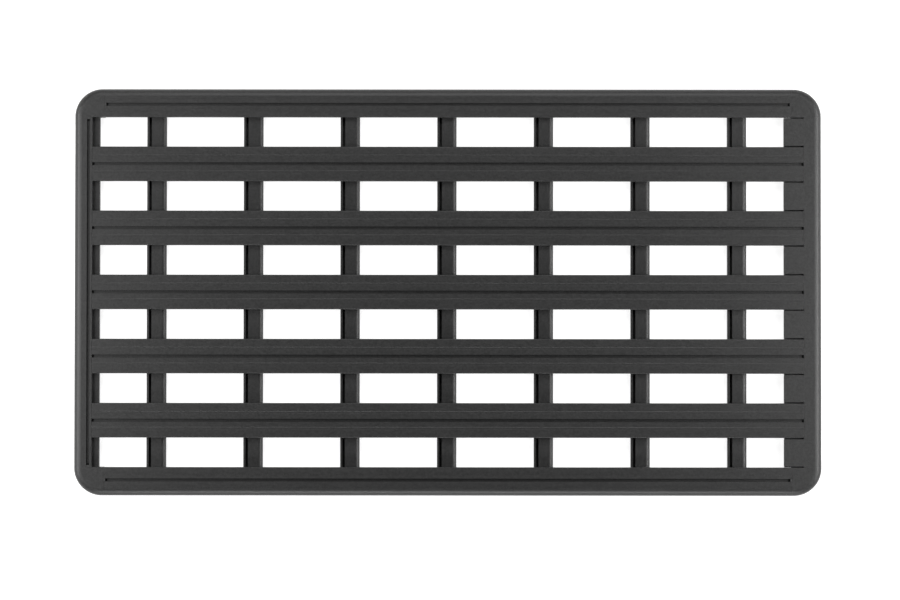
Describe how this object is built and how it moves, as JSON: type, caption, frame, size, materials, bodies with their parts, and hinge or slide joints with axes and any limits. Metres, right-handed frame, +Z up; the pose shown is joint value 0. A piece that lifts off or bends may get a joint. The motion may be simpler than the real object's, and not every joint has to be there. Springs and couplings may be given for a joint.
{
  "type": "flat platform roof rack",
  "caption": "Flat platform roof rack with a rounded frame of hollow rails, slotted deck planks and crossbars below.",
  "frame": {"origin": "centre of the rack in plan, on the plane of its underside", "axes": "+X towards the front end, +Y towards the left side, +Z up"},
  "size_m": [2.7, 1.47, 0.045],
  "materials": {
    "rail_coating": "satin, fine texture",
    "plank_coating": "satin, fine texture",
    "crossbar_coating": "satin, fine texture",
    "corner_coating": "satin, fine texture",
    "plug_plastic": "satin, fine texture"
  },
  "bodies": {
    "root": {"side_rail_left": "rail_coating", "side_rail_right": "rail_coating", "rear_rail": "rail_coating", "front_rail": "rail_coating", "corner_rear_left": "corner_coating", "corner_rear_right": "corner_coating", "corner_front_left": "corner_coating", "corner_front_right": "corner_coating", "plank_1": "plank_coating", "plank_2": "plank_coating", "plank_3": "plank_coating", "plank_4": "plank_coating", "plank_5": "plank_coating", "crossbar_1": "crossbar_coating", "crossbar_2": "crossbar_coating", "crossbar_3": "crossbar_coating", "crossbar_4": "crossbar_coating", "crossbar_5": "crossbar_coating", "crossbar_6": "crossbar_coating", "crossbar_7": "crossbar_coating", "side_channel_plugs": "plug_plastic", "rear_channel_plugs": "plug_plastic"}
  },
  "joints": []
}
